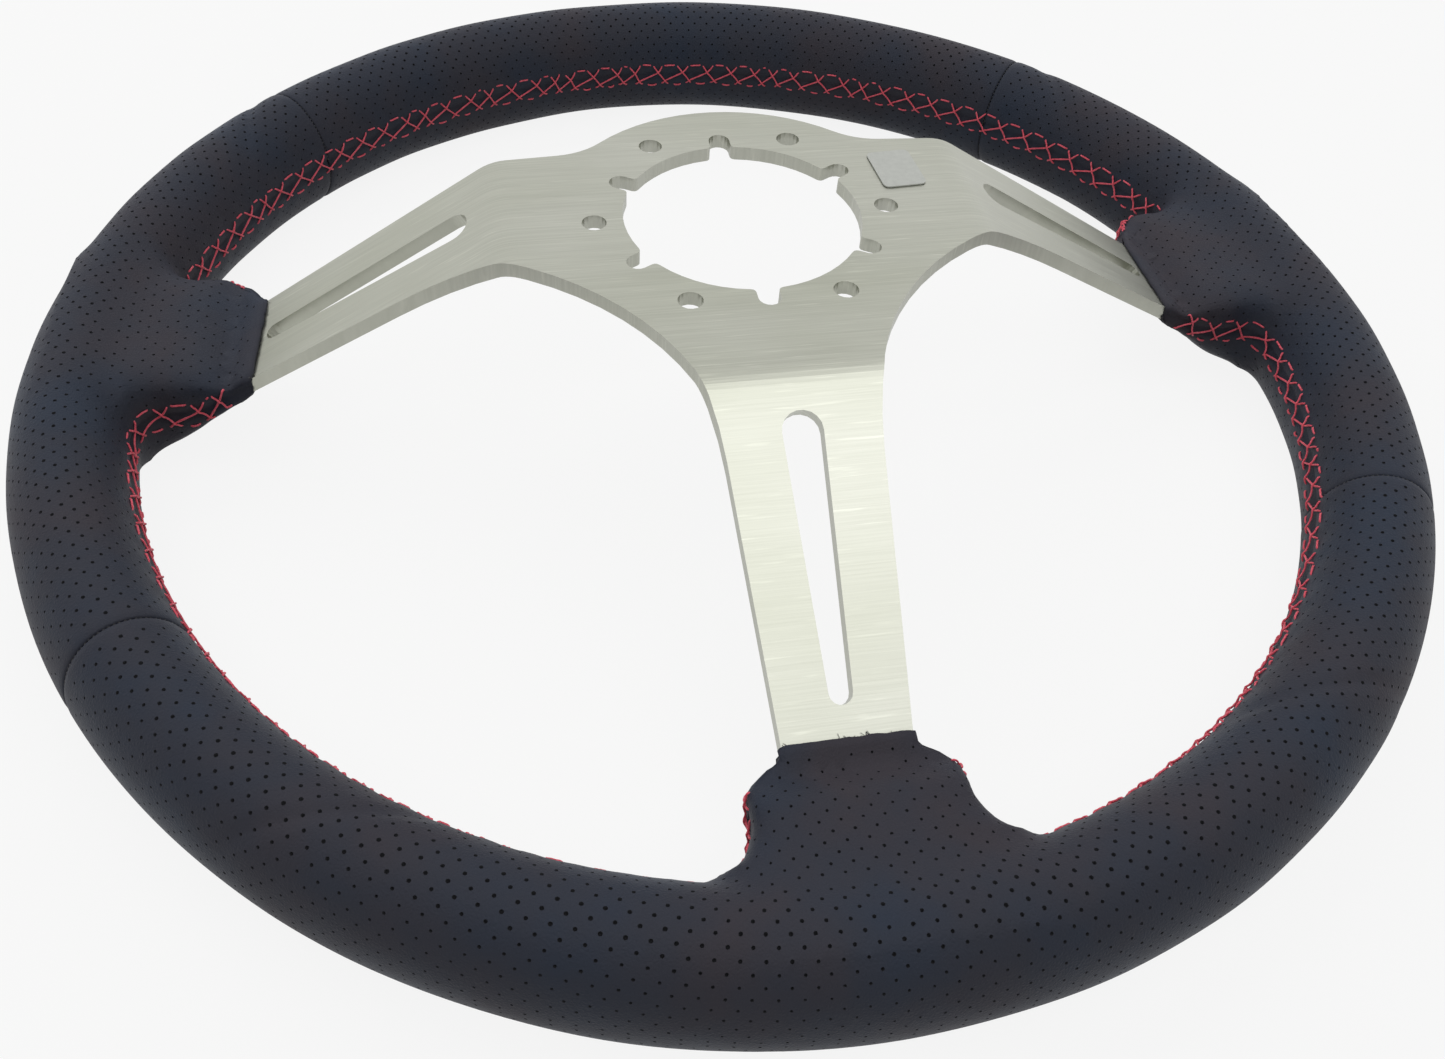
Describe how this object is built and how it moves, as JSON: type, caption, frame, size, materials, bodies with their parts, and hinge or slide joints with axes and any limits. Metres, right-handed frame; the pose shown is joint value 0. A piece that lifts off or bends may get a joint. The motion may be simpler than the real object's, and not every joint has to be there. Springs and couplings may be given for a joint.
{
  "type": "steering wheel",
  "caption": "Round sports steering wheel: a dished aluminium spoke plate with a bolted hub, set in a padded grip wrapped in perforated leather.",
  "frame": {"origin": "centre of the wheel's axis, at the lowest point of the grip", "axes": "+Z along the wheel's axis towards the steering column, -Y along the bottom spoke, X across the two side spokes; the wheel lies on its driver's face"},
  "size_m": [0.35, 0.35, 0.0646],
  "materials": {
    "aluminium": "brushed",
    "steel": "bare mill finish, hidden inside the grip",
    "rivet": "plain, hidden inside the grip",
    "foam": "moulded polyurethane foam, hidden under the leather",
    "leather": "matt black, perforated",
    "black_thread": "waxed",
    "red_thread": "waxed",
    "paper": "matt paper, blank"
  },
  "bodies": {
    "root": {"spoke_plate": "aluminium", "rim_core": "steel", "ring_tab_left": "steel", "rivet_left_1": "rivet", "rivet_left_2": "rivet", "ring_tab_right": "steel", "rivet_right_1": "rivet", "rivet_right_2": "rivet", "ring_tab_bottom": "steel", "rivet_bottom_1": "rivet", "rivet_bottom_2": "rivet", "foam_grip": "foam", "leather_top": "leather", "leather_left": "leather", "leather_bottom": "leather", "leather_right": "leather", "seam_thread_top_right": "black_thread", "seam_thread_top_left": "black_thread", "seam_thread_bottom_left": "black_thread", "seam_thread_bottom_right": "black_thread", "lacing_top": "red_thread", "lacing_lower_left": "red_thread", "lacing_lower_right": "red_thread", "hub_label": "paper"}
  },
  "joints": []
}
